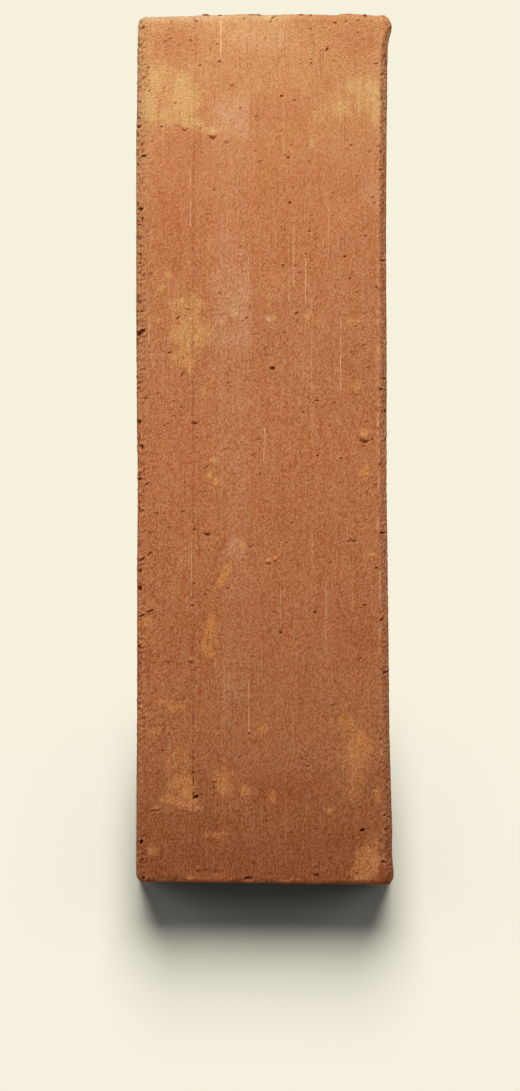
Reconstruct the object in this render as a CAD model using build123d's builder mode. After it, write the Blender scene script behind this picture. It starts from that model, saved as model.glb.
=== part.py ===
"""Terracotta tile: one plank of clay, extruded through a die, cut off by a wire at both ends and fired.

The tile lies on its back with its face up. Its length runs along Y and its width along X, and the origin
is at the middle of the back. The wire came in at the left wall and came out at the right one, so the left
corners are pressed round and the right corners are dragged out into small lips.
"""

import os
from math import atan2, hypot, tan

from build123d import *

# Driving dimensions of the extruded plank, in millimetres
length = 240.0  # between the two wire cuts, along the middle of the face
width = 69.0  # between the side walls, where they run parallel
thickness = 20.0  # from back to face
back_arris_radius = 0.8  # tight edge all round the back

# The worn band round the face: how far each edge of the face falls back from its wall
worn_depth = 2.0  # below the face
left_wear = 0.8
right_wear = 2.0
near_wear = 0.5
far_wear = 1.1
face_edge_radius = 0.7  # softens the edge between the band and the face
shoulder_radius = 1.6  # softens the edge between the band and the walls

# The wire cuts
cut_skew = 0.8  # how much further out each cut ends at the right wall than at the left wall
entry_corner_radius = 2.2  # left corners, in plan
exit_corner_radius = 2.6  # right corners, in plan

# The lip that the wire drags out of the right wall at each end
lip_projection = 0.8  # beyond the wall
lip_crest = 4.2  # from the cut to where the lip starts to fall back
lip_length = 9.0  # from the cut to where the lip meets the wall
lip_crest_radius = 6.0
lip_root_radius = 14.0

# The right wall swings out a little towards the near end
flare_projection = 1.5
flare_length = 95.0
flare_bend_radius = 3500.0

# Walls and cuts, worked out from the sizes above
overall_width = width + flare_projection + lip_projection
left_wall = -overall_width / 2
right_wall = left_wall + width
left_end = length / 2 - cut_skew / 2
right_end = length / 2 + cut_skew / 2
shoulder_height = thickness - worn_depth


def exit_lip(wall, end):
    """Points and corner radii of the lip at one right corner, from the cut inwards along the wall."""
    inwards = -1 if end > 0 else 1
    fall = lip_length - lip_crest
    # the radius of an arc that would take up the whole fall of the lip
    full_radius = hypot(lip_projection, fall) / tan(atan2(lip_projection, fall) / 2)
    return [
        ((wall + lip_projection, end), exit_corner_radius),
        ((wall + lip_projection, end + inwards * lip_crest), min(lip_crest_radius, 0.3 * full_radius)),
        ((wall, end + inwards * lip_length), min(lip_root_radius, 0.6 * full_radius)),
    ]


def outline(left, right, near, far):
    """Corners and corner radii in plan, clockwise from the near left, set in from the walls and the cuts."""
    wall = right_wall - right
    points = [
        ((left_wall + left, near - left_end), entry_corner_radius),
        ((left_wall + left, left_end - far), entry_corner_radius),
        *exit_lip(wall, right_end - far),
        ((wall, flare_length - right_end), flare_bend_radius),
        *reversed(exit_lip(wall + flare_projection, near - right_end)),
    ]
    return [corner for corner, _ in points], [radius for _, radius in points]


# The outline of the walls, and the smaller outline of the face inside the worn band
with BuildSketch() as walls:
    with BuildLine():
        corners, radii = outline(left=0.0, right=0.0, near=0.0, far=0.0)
        FilletPolyline(*corners, radius=radii, close=True)
    make_face()
with BuildSketch(Plane.XY.offset(thickness)) as face:
    with BuildLine():
        corners, radii = outline(left=left_wear, right=right_wear, near=near_wear, far=far_wear)
        FilletPolyline(*corners, radius=radii, close=True)
    make_face()

# The tile, one solid piece of fired clay
with BuildPart() as tile:
    extrude(walls.sketch, amount=shoulder_height)
    shoulder = tile.faces().sort_by(Axis.Z)[-1]
    loft([shoulder, face.sketch.face()], ruled=True)
    face_edges = tile.faces().sort_by(Axis.Z)[-1].edges()
    fillet(face_edges, radius=face_edge_radius)
    shoulder_edges = tile.edges().filter_by_position(Axis.Z, shoulder_height, shoulder_height)
    fillet(shoulder_edges, radius=shoulder_radius)
    back_edges = tile.faces().sort_by(Axis.Z)[0].edges()
    fillet(back_edges, radius=back_arris_radius)
tile.part.label = "tile"

os.makedirs("parts", exist_ok=True)
export_step(tile.part, "parts/tile.step")
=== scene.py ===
import math

import bmesh
import bpy
import numpy as np
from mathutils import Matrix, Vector, noise


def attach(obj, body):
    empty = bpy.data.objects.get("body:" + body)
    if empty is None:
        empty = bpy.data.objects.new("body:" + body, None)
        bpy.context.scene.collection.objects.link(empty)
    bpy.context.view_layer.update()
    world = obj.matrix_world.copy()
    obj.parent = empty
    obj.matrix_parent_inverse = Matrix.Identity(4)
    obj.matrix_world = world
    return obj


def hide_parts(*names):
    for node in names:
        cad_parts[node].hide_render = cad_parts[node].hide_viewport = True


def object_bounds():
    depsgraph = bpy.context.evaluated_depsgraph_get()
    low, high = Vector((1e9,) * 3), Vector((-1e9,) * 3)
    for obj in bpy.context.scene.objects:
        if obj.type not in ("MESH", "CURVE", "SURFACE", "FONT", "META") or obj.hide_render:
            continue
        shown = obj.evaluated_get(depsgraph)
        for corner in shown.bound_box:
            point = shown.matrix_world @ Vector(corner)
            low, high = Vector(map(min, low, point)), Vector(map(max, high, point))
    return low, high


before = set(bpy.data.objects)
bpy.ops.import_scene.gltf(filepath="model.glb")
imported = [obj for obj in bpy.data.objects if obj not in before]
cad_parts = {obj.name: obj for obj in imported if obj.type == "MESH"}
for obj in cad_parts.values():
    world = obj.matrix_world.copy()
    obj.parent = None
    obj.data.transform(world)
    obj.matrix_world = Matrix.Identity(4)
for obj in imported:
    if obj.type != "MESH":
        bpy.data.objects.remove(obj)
cadLow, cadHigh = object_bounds()
scene = bpy.context.scene
scene.view_settings.view_transform = "Standard"
mm = 0.001
faceHeight = cadHigh.z / mm
print("frame loaded, nodes:", sorted(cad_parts))

# places on the face are in millimetres from the tile's middle: x towards the right wall, y towards the far end
# a lean is in degrees from the x axis, and a turn is in degrees from the y axis

# holes and cuts in the face, painted darker as shade the deeper they are: x, y, half length, half width, depth,
# lean
pits = [
    (-26.1, 113.4, 0.45, 0.22, 0.35, -20), (-20.9, 116.9, 0.5, 0.22, 0.2, 10),
    (-24, 111.4, 0.6, 0.2, 0.25, 25), (-12.5, 107, 0.5, 0.38, 0.35, 0), (-27.9, 98.7, 0.3, 0.25, 0.3, 0),
    (-8, 105.5, 0.5, 0.18, 0.2, -10), (4.6, 97.5, 0.4, 0.34, 0.5, 0), (8.2, 96.3, 0.36, 0.3, 0.4, 0),
    (17.1, 110.4, 0.65, 0.3, 0.5, 48), (15.7, 110, 0.6, 0.2, 0.25, 0), (19.5, 117.8, 0.5, 0.34, 0.45, 0),
    (16.6, 118.9, 0.5, 0.24, 0.3, 10), (22.4, 117.8, 0.5, 0.24, 0.3, 30), (9.9, 107.6, 0.45, 0.2, 0.25, 0),
    (12.7, 107.6, 0.5, 0.2, 0.25, 0), (30.5, 106.5, 0.5, 0.26, 0.35, 20), (6.4, 80.5, 0.45, 0.36, 0.5, 10),
    (5.3, 81.1, 0.34, 0.26, 0.3, 0), (29, 82.2, 0.6, 0.28, 0.3, 80), (-14.2, 71.5, 0.3, 0.26, 0.35, 0),
    (-16, 66, 0.6, 0.18, 0.25, 0), (-15.8, 63.5, 0.35, 0.28, 0.25, 60), (-25.8, 59.1, 0.5, 0.22, 0.25, -10),
    (-24, 36.2, 0.7, 0.34, 0.35, 40), (-21, 38.5, 0.6, 0.3, 0.25, 0), (-5.1, 36.1, 0.7, 0.22, 0.3, 22),
    (-2.9, 31.6, 1, 0.18, 0.25, 5), (6.9, 68, 0.4, 0.36, 0.55, 0), (12.2, 60.2, 0.36, 0.28, 0.35, 0),
    (13, 64.6, 0.34, 0.24, 0.3, 40), (27.9, 58.9, 0.5, 0.28, 0.35, 10), (22.1, 53.2, 0.42, 0.3, 0.4, 30),
    (5, 50.7, 0.42, 0.32, 0.5, 20), (8.4, 50.7, 0.32, 0.26, 0.4, 0), (9.6, 48.7, 0.34, 0.24, 0.3, 70),
    (23.5, 47.2, 0.36, 0.28, 0.45, 50), (8.8, 37.5, 0.7, 0.4, 0.3, 30), (2.7, 72, 0.7, 0.2, 0.2, 10),
    (-26.4, 26.6, 0.5, 0.3, 0.45, 15), (-22.9, 20.6, 0.6, 0.28, 0.35, 60), (-22.9, 9.1, 0.6, 0.18, 0.2, 0),
    (-16.2, -5, 0.6, 0.22, 0.3, 48), (-1.7, 2.6, 0.7, 0.24, 0.25, 0), (-22.4, -17.2, 0.6, 0.22, 0.25, 10),
    (-29.9, -17.8, 0.4, 0.26, 0.35, 20), (2.1, 22.3, 0.55, 0.42, 0.7, -10), (14.4, 13.4, 0.36, 0.3, 0.55, 0),
    (15.1, -14.9, 0.6, 0.2, 0.25, 60), (-19.5, -22.2, 0.34, 0.28, 0.45, 20),
    (-31.3, -33, 0.36, 0.24, 0.35, 20), (-19.6, -37.2, 0.3, 0.26, 0.35, 0),
    (-18.3, -40.3, 0.6, 0.24, 0.25, 80), (-20, -43.2, 0.36, 0.3, 0.45, 0), (-3.1, -63.7, 0.4, 0.24, 0.25, 70),
    (13.9, -45.2, 0.36, 0.32, 0.5, 0), (27.5, -43.2, 0.42, 0.3, 0.4, 10), (26.3, -43.9, 0.7, 0.16, 0.2, 0),
    (4.3, -50.8, 0.36, 0.32, 0.5, 0), (16.4, -21.1, 0.4, 0.22, 0.25, 0), (30.5, -32.9, 0.45, 0.3, 0.4, 20),
    (26.1, -58.2, 1, 0.18, 0.25, 52), (-19.7, -89.5, 0.5, 0.28, 0.4, 80), (-19, -96.1, 0.75, 0.4, 0.7, 22),
    (-30.2, -99.9, 1.8, 0.22, 0.26, 4), (-4.5, -78.7, 0.45, 0.3, 0.3, 0), (-13.4, -104.2, 0.5, 0.2, 0.25, 10),
    (26.9, -105.3, 0.62, 0.42, 0.7, 25), (11.8, -87.7, 0.32, 0.26, 0.35, 0), (13.9, -104.9, 0.9, 0.2, 0.2, 5),
    (0.4, -102.8, 0.28, 0.24, 0.3, 0), (-31, -67.5, 0.5, 0.2, 0.25, 10), (20.5, -79, 0.5, 0.2, 0.25, 70),
    (-25.2, 13.3, 0.34, 0.22, 0.3, 20), (-23.1, 11.5, 0.3, 0.22, 0.3, 0), (-24.9, 9.1, 0.34, 0.2, 0.28, 10),
    (-27.8, 6.3, 0.28, 0.24, 0.3, 0), (-5.5, 18.8, 0.6, 0.28, 0.22, 25), (-10.7, 17.4, 0.5, 0.2, 0.22, 20),
    (-17.3, 22.7, 0.3, 0.2, 0.25, 0), (-9.7, -0.2, 0.7, 0.14, 0.2, 5), (16.2, 116.5, 0.45, 0.2, 0.28, 15),
    (17.9, 115.8, 0.34, 0.22, 0.3, 30), (12.1, 116.1, 0.4, 0.18, 0.25, 0), (1.4, 103.7, 0.3, 0.22, 0.28, 0),
    (12.4, 96.8, 0.28, 0.2, 0.28, 0), (11.7, 83.7, 0.3, 0.22, 0.32, 0), (12.4, 78.8, 0.3, 0.2, 0.28, 20),
    (24, 84, 0.42, 0.22, 0.32, 30), (31.4, 83.7, 0.5, 0.22, 0.32, 0), (25.5, 75.4, 0.34, 0.2, 0.3, 0),
    (28.7, 76.8, 0.3, 0.22, 0.3, 0), (29.7, 69.5, 0.45, 0.22, 0.3, 20), (5.5, 71.3, 0.34, 0.2, 0.28, 60),
    (28.3, 22.6, 0.55, 0.2, 0.32, 20), (23.8, 26.7, 0.4, 0.2, 0.3, 20), (10.7, 10.1, 0.32, 0.24, 0.34, 0),
    (14.6, -1.9, 0.36, 0.26, 0.38, 0), (21, -2.6, 0.5, 0.2, 0.32, 20), (30.4, -9.9, 0.6, 0.28, 0.28, 0),
]

# damage along the edges of the face, the same way
chips = [
    (-33.3, 81, 0.8, 0.4, 0.5, 12), (-34, 82.6, 0.6, 0.3, 0.35, 20), (-34.5, 66.2, 0.85, 0.5, 0.9, 12),
    (-33.8, 63.6, 0.6, 0.3, 0.5, 60), (-34.6, 62, 0.5, 0.3, 0.5, 0), (-34.6, 53.6, 0.6, 0.4, 0.7, 0),
    (-34.7, 51.4, 0.55, 0.35, 0.6, 20), (-34.4, 32.2, 1.7, 0.6, 1, 30), (-33, 14.1, 0.6, 0.22, 0.4, 10),
    (-35.2, 7.5, 0.6, 0.5, 0.6, 20), (-34.5, 0.6, 0.8, 0.6, 1, 0), (-35.1, -8.2, 0.7, 0.35, 0.6, 50),
    (-32.5, -9.5, 0.7, 0.26, 0.4, 30), (-34.4, -30.6, 1.3, 0.3, 0.4, 33), (-31.9, -29, 1, 0.32, 0.38, 35),
    (-34.9, -33.6, 0.6, 0.5, 0.7, 60), (-35.1, -38.5, 0.7, 0.55, 0.9, 20), (-34.2, -46, 1.2, 0.32, 0.42, 14),
    (-31.8, -44.9, 1.1, 0.36, 0.42, 20), (-35.1, -54.5, 0.6, 0.4, 0.6, 40),
    (-34.4, -108.6, 0.75, 0.55, 0.9, 10), (-34, -113.5, 0.7, 0.26, 0.24, 35),
    (-33.5, -118.4, 0.9, 0.26, 0.24, -20), (-34, 116.3, 0.55, 0.26, 0.4, 30),
    (-32.8, 115.5, 0.55, 0.16, 0.28, 10), (-34.7, 111.5, 0.45, 0.3, 0.4, 30),
    (-34.7, 109.6, 0.45, 0.2, 0.35, 10), (-34.5, 108.4, 0.45, 0.18, 0.3, 20),
    (-32.3, 105.3, 0.5, 0.26, 0.35, 42), (-34.9, 104.1, 0.35, 0.3, 0.4, 0), (-34.5, 103, 0.5, 0.2, 0.3, 10),
    (-32.6, 103.5, 0.5, 0.24, 0.28, 30), (-35, 100, 0.45, 0.2, 0.32, 15),
    (-32.8, 100.1, 0.28, 0.24, 0.3, 0), (-32.1, 98.9, 0.75, 0.2, 0.28, 25), (-35, 95.9, 0.35, 0.35, 0.45, 0),
    (-34.4, 94, 0.6, 0.18, 0.28, 25), (-35, 91.3, 0.3, 0.35, 0.4, 0), (-35.3, 89, 0.5, 0.35, 0.45, 30),
    (-29.3, 96.1, 1, 0.16, 0.2, 20), (-28.6, 89, 0.55, 0.25, 0.3, 0), (-29.3, 93, 0.5, 0.22, 0.22, 10),
    (31, 44.5, 0.95, 0.22, 0.42, -35), (32.3, 52, 0.9, 0.32, 0.26, -10), (32.8, 19.5, 0.9, 0.3, 0.32, 0),
    (31.9, 16.6, 0.6, 0.3, 0.35, -25), (33.1, 10.6, 0.5, 0.4, 0.35, -60), (33.3, 2.6, 0.5, 0.5, 0.4, 80),
    (31.8, -4.3, 0.4, 0.26, 0.35, 0), (32.4, -23.2, 0.8, 0.34, 0.38, 0), (32.1, -47.2, 0.5, 0.38, 0.45, 15),
    (33.3, -61.7, 0.8, 0.4, 0.38, 20), (32, -80.3, 0.6, 0.28, 0.4, -50), (32, -86.6, 0.6, 0.28, 0.4, -45),
    (32.9, -101.2, 0.6, 0.28, 0.3, 20), (33.2, -105, 0.7, 0.26, 0.3, 10), (33, -114.1, 0.8, 0.36, 0.5, -25),
    (31.7, 77.2, 0.6, 0.3, 0.35, -20), (32.4, 103.6, 0.8, 0.26, 0.28, -10), (2.4, 119.5, 0.9, 0.28, 0.5, 28),
    (3.3, 118.9, 0.7, 0.2, 0.35, 30), (-4.6, -118.7, 1.3, 0.6, 0.42, 0), (5.5, -119.4, 1, 0.3, 0.4, 0),
    (-22, 118.4, 0.8, 0.3, 0.4, -15),
]

# crumbs along the far edge, painted dark as shade: x, y, half length, rise
burrs = [
    (-16.4, 119.9, 1, 0.45), (-12.4, 120, 0.65, 0.15), (-2.9, 120.1, 1.9, 0.12), (9.9, 120.1, 0.6, 0.12),
    (12.5, 120.1, 0.4, 0.1), (22.9, 120.1, 1.2, 0.2), (27.6, 120, 0.6, 0.12),
]

# lumps of grit under the skin, each with a hollow on its near side that is painted dark as the lump's shadow:
# x, y, radius, height, hollow
lumps = [
    (-22.1, 88.9, 0.95, 0.24, 0.45), (-14.3, 86.9, 1.15, 0.34, 0.55), (-10.5, 85.4, 0.95, 0.24, 0.3),
    (2.2, 23.3, 0.6, 0.28, 0), (-19.3, 8, 1.1, 0.34, 0.5), (27.6, 3.3, 1.5, 0.45, 0.5),
    (-15.8, -22.9, 0.9, 0.34, 0.5), (24.5, -24.6, 1, 0.3, 0.35), (-31.6, -22.5, 0.8, 0.3, 0.35),
    (1, -31, 0.9, 0.4, 0.2), (2.6, -30.4, 0.6, 0.35, 0.15), (-20.4, -58.2, 0.95, 0.26, 0.35),
    (-26.8, -58.3, 0.9, 0.2, 0.2), (14.2, -116.9, 1.05, 0.32, 0.4), (-18.5, -115.9, 0.8, 0.32, 0.15),
    (-6.4, 105.3, 0.32, 0.3, 0), (24.3, -14, 0.9, 0.2, 0.25), (-14.1, -91.5, 0.75, 0.2, 0.2),
    (3.5, 91.6, 0.6, 0.25, 0.1), (4.3, 88.4, 0.6, 0.3, 0.1), (3.4, 86.6, 0.5, 0.25, 0.1),
    (-15.9, 65.3, 0.55, 0.3, 0), (32.1, -46.2, 0.5, 0.3, 0), (29.8, -29.4, 0.7, 0.25, 0.15),
    (25.4, 15.6, 0.9, 0.18, 0.22), (2.6, -40.6, 0.6, 0.15, 0.2), (-4.2, -78, 0.5, 0.2, 0),
]

tileMesh = {
    "cell": 2.3,  # voxel size of the even copy, halved by each split below
    "edgeZones": (4.2, 3.0, 2.2, 0.0),  # how near the edges of the face each split reaches
    "markZones": ((2.0, 1.1), (1.6, 0.45), (1.3, 0.25), (0.9, 0.06)),  # times a mark's size, plus a margin
    "edgeDepth": (5.0, 3.0, 1.8, 0.0),  # how far down the walls
    "endWeights": (1.7, 1.3),  # the splits reach this much less far at the near and far ends
    "markDepth": 2.5,  # marks and patches split only cells this near the face
    "smallPatch": 2.0,  # flashes narrower than this are split once more
    "wallSink": 0.03,  # room left inside the solid for relief that stands out
    "faceSink": 0.42,
    "reliefDepth": (4.2, 1.8),  # below the face: where relief starts, and where it is full
    "unevenness": ((46.0, 0.1), (15.0, 0.06), (5.0, 0.04)),  # cell and height of each layer
    "dragRidges": ((3.2, 0.05), (1.7, 0.03)),  # width and height
    "dragLength": 70.0,
    # how far the side walls and the far end stand out, at places along them
    "leftSwing": (
        (-119, 0.1), (-112, 0.0), (-92, -0.06), (-75, -0.2), (-30, -0.24), (-12, -0.4), (-3, -0.35), (6, -0.16),
        (20, -0.1), (30, 0.04), (86, 0.04), (95, -0.2), (108, -0.28), (118, -0.5),
    ),
    "rightSwing": (
        (-115, -0.1), (-111, 0.24), (-105, 0.48), (-94, 0.3), (-80, 0.14), (-60, 0.28), (-48, 0.36), (-28, 0.4),
        (-12, 0.25), (20, 0.36), (34, 0.3), (46, 0.17), (62, 0.15), (78, 0.28), (106, 0.5), (109, 0.65),
        (114, 0.62), (115.5, 0.85), (117, 1.0), (118.3, 0.65), (119.6, 0.15),
    ),
    "farSwing": (
        (-34, -0.05), (-29, -0.05), (-23, 0.0), (-17, 0.28), (-11, 0.2), (-6.5, 0.55), (-3, 0.3), (-1, 0.12),
        (12, 0.12), (15, 0.05), (16.5, 0.02), (18, -0.15), (20.3, -0.05), (21.6, 0.5), (24.5, 0.35),
        (26.2, 0.02), (27.3, -0.08), (28.5, -0.25), (30.5, -0.44), (31.8, -0.23), (33, 0.04), (35, 0.05),
    ),
    "swingReach": (0.4, 5.0),  # the swing of an edge dies away between these distances from it
    "farRim": (0.2, 2.0),  # so does the pale rim along the far edge, a painted highlight
    "paintedRimHighlightFade": (3.0, 15.0),  # which is paler still to the left of these places
    # a weaker painted highlight along the left edge fades out between these distances from it
    "leftRimHighlight": (0.3, 1.5),
    "merge": 0.001,  # corners closer than this become one
}


def climb(low, high, value):
    # from 0 at the low limit smoothly to 1 at the high one
    t = np.clip((value - low) / (high - low), 0.0, 1.0)
    return t * t * (3.0 - 2.0 * t)


def noiseOver(points, cell, shift):
    # the shift only picks another part of the noise
    cells = points / np.asarray(cell) + shift
    return np.array([noise.noise(p) for p in cells.tolist()])


def turnedBy(points, lean):
    c, s = math.cos(math.radians(lean)), math.sin(math.radians(lean))
    x, y, z = points.T
    return np.column_stack((x * c + y * s, y * c - x * s, z))


def pointsOf(mesh):
    flat = np.empty(len(mesh.vertices) * 3)
    mesh.vertices.foreach_get("co", flat)
    return flat.reshape(-1, 3) / mm


def normalsOf(mesh):
    flat = np.empty(len(mesh.vertices) * 3)
    mesh.vertex_normals.foreach_get("vector", flat)
    return flat.reshape(-1, 3)


def bakeModifiers(piece):
    depsgraph = bpy.context.evaluated_depsgraph_get()
    piece.data = bpy.data.meshes.new_from_object(piece.evaluated_get(depsgraph))
    piece.modifiers.clear()


def evenCopy():
    # the solid's triangles are merged, then made into even square cells
    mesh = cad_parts["tile"].data.copy()
    shape = bmesh.new()
    shape.from_mesh(mesh)
    bmesh.ops.remove_doubles(shape, verts=shape.verts, dist=tileMesh["merge"] * mm)
    shape.to_mesh(mesh)
    shape.free()
    piece = bpy.data.objects.new("terracottaTile", mesh)
    scene.collection.objects.link(piece)
    remesh = piece.modifiers.new("evenCells", "REMESH")
    remesh.mode = "VOXEL"
    remesh.voxel_size = tileMesh["cell"] * mm
    bakeModifiers(piece)
    piece.data.materials.clear()
    return piece


class FaceEdges:
    # where the four walls of the tile lie, read from its mesh

    spacing = 1.5

    def __init__(self, points):
        x, y = points[:, 0], points[:, 1]
        self.along = np.arange(y.min(), y.max() + self.spacing, self.spacing)
        self.across = np.arange(x.min(), x.max() + self.spacing, self.spacing)
        self.left = self.reach(y, x, self.along, np.min)
        self.right = self.reach(y, x, self.along, np.max)
        self.near = self.reach(x, y, self.across, np.min)
        self.far = self.reach(x, y, self.across, np.max)

    def reach(self, place, value, stations, pick):
        station = np.rint((place - stations[0]) / self.spacing).astype(int)
        found = [(stations[i], pick(value[station == i])) for i in np.unique(station) if i < len(stations)]
        return np.interp(stations, *zip(*found))

    def distances(self, points):
        x, y = points[:, 0], points[:, 1]
        fromLeft = x - np.interp(y, self.along, self.left)
        fromRight = np.interp(y, self.along, self.right) - x
        fromNear = y - np.interp(x, self.across, self.near)
        fromFar = np.interp(x, self.across, self.far) - y
        return fromLeft, fromRight, fromNear, fromFar


def markSizes(level):
    # the lumps are smooth and do without the last split
    sizes = [(x, y, halfLength) for x, y, halfLength, _, _, _ in pits + chips]
    return sizes + [(x, y, radius) for x, y, radius, _, _ in lumps if level < 3]


def splitCells(mesh, edges, level):
    # splits the cells near the face's edges, near the marks and, at first, under the colour patches
    shape = bmesh.new()
    shape.from_mesh(mesh)
    shape.faces.ensure_lookup_table()
    centres = np.array([cell.calc_center_median() for cell in shape.faces]) / mm
    fromLeft, fromRight, fromNear, fromFar = edges.distances(centres)
    nearWeight, farWeight = tileMesh["endWeights"]
    nearest = np.minimum.reduce((fromLeft, fromRight, nearWeight * fromNear, farWeight * fromFar))
    chosen = nearest < tileMesh["edgeZones"][level]
    chosen &= centres[:, 2] > faceHeight - tileMesh["edgeDepth"][level]
    onFace = centres[:, 2] > faceHeight - tileMesh["markDepth"]
    times, margin = tileMesh["markZones"][level]
    for x, y, size in markSizes(level):
        apart = np.hypot(centres[:, 0] - x, centres[:, 1] - y)
        chosen |= onFace & (apart < size * times + margin)
    if level < 2:
        small = [patch for patch in flashes if min(patch[2:4]) < tileMesh["smallPatch"]]
        patches = flashes + hazes + reds if level == 0 else small
        chosen |= onFace & (softPatches(centres, patches) > 0.02)
    cells = [shape.faces[i] for i in np.flatnonzero(chosen)]
    lines = list({line for cell in cells for line in cell.edges})
    bmesh.ops.subdivide_edges(shape, edges=lines, cuts=1, use_grid_fill=True)
    shape.to_mesh(mesh)
    shape.free()


def wrapOnto(piece):
    # puts the split cells back onto the solid's own surface
    wrap = piece.modifiers.new("ontoSolid", "SHRINKWRAP")
    wrap.wrap_method = "NEAREST_SURFACEPOINT"
    wrap.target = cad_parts["tile"]
    bakeModifiers(piece)


marks = {
    "raggedness": 0.45,  # how far a mark's outline wobbles
    "wobbleCell": (0.5, 0.5, 0.9),
    "hollow": (0.5, 1.25),  # a pit rises from its floor to the face between these shares of its size
    "lip": (1.55, 0.3),  # place and width of the lip round a pit, as shares of its size
    "lipRise": 0.12,  # as a share of the pit's depth
    "darkest": 0.95,
    "darkByDepth": (1.7, -0.1),  # how dark a pit's painted shade is for each millimetre of depth, and a start
    "burrEnds": (0.6, 1.1),  # a burr falls away between these shares of its half length
    "burrSides": (0.25, 0.55),  # and between these distances across it
    "lumpSide": (0.3, 1.05),  # a lump falls away between these shares of its radius
    "crescent": (0.95, 0.26),  # place and width of the hollow beside a lump, as shares of its radius
    "crescentFrom": (0.35, 0.9),  # the hollow and its painted shadow lie on the side away from this direction
    "crescentEnds": (0.35, 0.95),
    "crescentShadow": 1.5,  # darkness of the painted shadow in the hollow, for each millimetre of depth
}


# raises the painted shade of the hollows to at least this amount
def darken(paintedShade, amount):
    np.maximum(paintedShade, amount, out=paintedShade)


def pressPits(points, height, paintedShade, upper, wobble):
    lipPlace, lipWidth = marks["lip"]
    perMm, start = marks["darkByDepth"]
    for x, y, halfLength, halfWidth, depth, lean in pits + chips:
        near = np.flatnonzero(np.hypot(points[:, 0] - x, points[:, 1] - y) < 2.2 * halfLength + 0.5)
        u, v, _ = turnedBy(points[near] - (x, y, 0.0), lean).T
        away = np.hypot(u / halfLength, v / halfWidth) * wobble[near]
        hollow = (1 - climb(*marks["hollow"], away)) * upper[near]
        lip = np.exp(-((away - lipPlace) / lipWidth) ** 2) * upper[near]
        height[near] += depth * (marks["lipRise"] * lip - hollow)
        # the pit is painted darker the deeper it is: painted shade
        dark = min(marks["darkest"], perMm * depth + start)
        paintedShade[near] = np.maximum(paintedShade[near], hollow * dark)


def raiseBurrs(points, height, paintedShade, upper):
    for x, y, halfLength, rise in burrs:
        beside, across = np.abs(points[:, 0] - x) / halfLength, np.abs(points[:, 1] - y)
        crest = 1 - climb(*marks["burrEnds"], beside)
        crest = crest * (1 - climb(*marks["burrSides"], across)) * upper
        height += rise * crest
        # the burr is painted dark: painted shade
        darken(paintedShade, marks["darkest"] * crest)


def raiseLumps(points, height, paintedShade, upper, wobble):
    place, width = marks["crescent"]
    fromX, fromY = marks["crescentFrom"]
    for x, y, radius, size, hollowDepth in lumps:
        near = np.flatnonzero(np.hypot(points[:, 0] - x, points[:, 1] - y) < 3 * radius)
        dx, dy = points[near, 0] - x, points[near, 1] - y
        ring = np.hypot(dx, dy) / radius
        away = ring * (0.6 + 0.4 * wobble[near])
        height[near] += size * (1 - climb(*marks["lumpSide"], away)) * upper[near]
        facingAway = -(fromY * dy + fromX * dx) / np.maximum(ring * radius, 0.01)
        nearSide = climb(*marks["crescentEnds"], facingAway)
        under = np.exp(-((ring - place) / width) ** 2) * nearSide * upper[near]
        height[near] -= hollowDepth * under
        # the hollow is painted dark as the lump's shadow
        paintedShade[near] = np.maximum(paintedShade[near], marks["crescentShadow"] * hollowDepth * under)


def pressMarks(points, height, paintedShade, upper):
    wobble = 1 + marks["raggedness"] * noiseOver(points, marks["wobbleCell"], 5.0)
    pressPits(points, height, paintedShade, upper, wobble)
    raiseBurrs(points, height, paintedShade, upper)
    raiseLumps(points, height, paintedShade, upper, wobble)


torn = {
    "calmCell": (60.0, 14.0, 60.0),  # size of the stretches where an edge is torn less
    "calmest": 0.45,  # how much of the tearing is left there
    "leftReach": (1.2, 3.8),  # the left tears fade out between these distances from the wall
    "leftArris": (0.1, 0.7),  # and are half as deep at the wall, up to these
    "nearCalm": (-95.0, -60.0),  # the left edge is torn less near the near end, up to these places
    "leftLean": 34.0,  # tears lean towards the far end
    "leftTear": (1.1, 0.5),  # length and width of the tears
    "leftDepth": 0.32,
    "leftDark": 0.34,
    "leftCrumb": 0.22,  # how far the crumbs between them stand out
    "roughLean": 25.0,
    "leftRough": (1.3, 0.7, 1.3),
    "leftRoughHeight": 0.45,
    "notch": (3.0, 0.75, 3.0),  # small cuts in the left edge itself, painted dark as shade
    "notchDepth": 0.1,
    "ridge": 2.2,  # from the right wall to the thin ridge beside the worn band
    "ridgeWander": 0.5,
    "ridgeWidth": 0.2,
    "ridgeHeight": 0.08,
    "rightLean": -8.0,
    "rightTear": (1.1, 0.45),
    "rightDepth": 0.1,
    "rightRough": (0.7, 0.75, 0.7),
    "rightRoughHeight": 0.2,
    "rightSwell": 0.18,  # the worn band is a little round
    "ticks": (0.45, 0.3),  # short cuts, painted dark as shade: how far inside the ridge, and how wide
    "tickDepth": 0.14,
    "farPart": (20.0, 90.0),  # the right band is darker, through more painted shade and less tint, and its ridge lower beyond these places
    "farWave": ((2.6, 0.2), (0.8, 0.14)),  # cell and height of each layer
    "nearWave": ((11.0, 0.1), (2.2, 0.1), (0.8, 0.1)),
    "waveReach": (0.5, 2.2),
}


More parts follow.
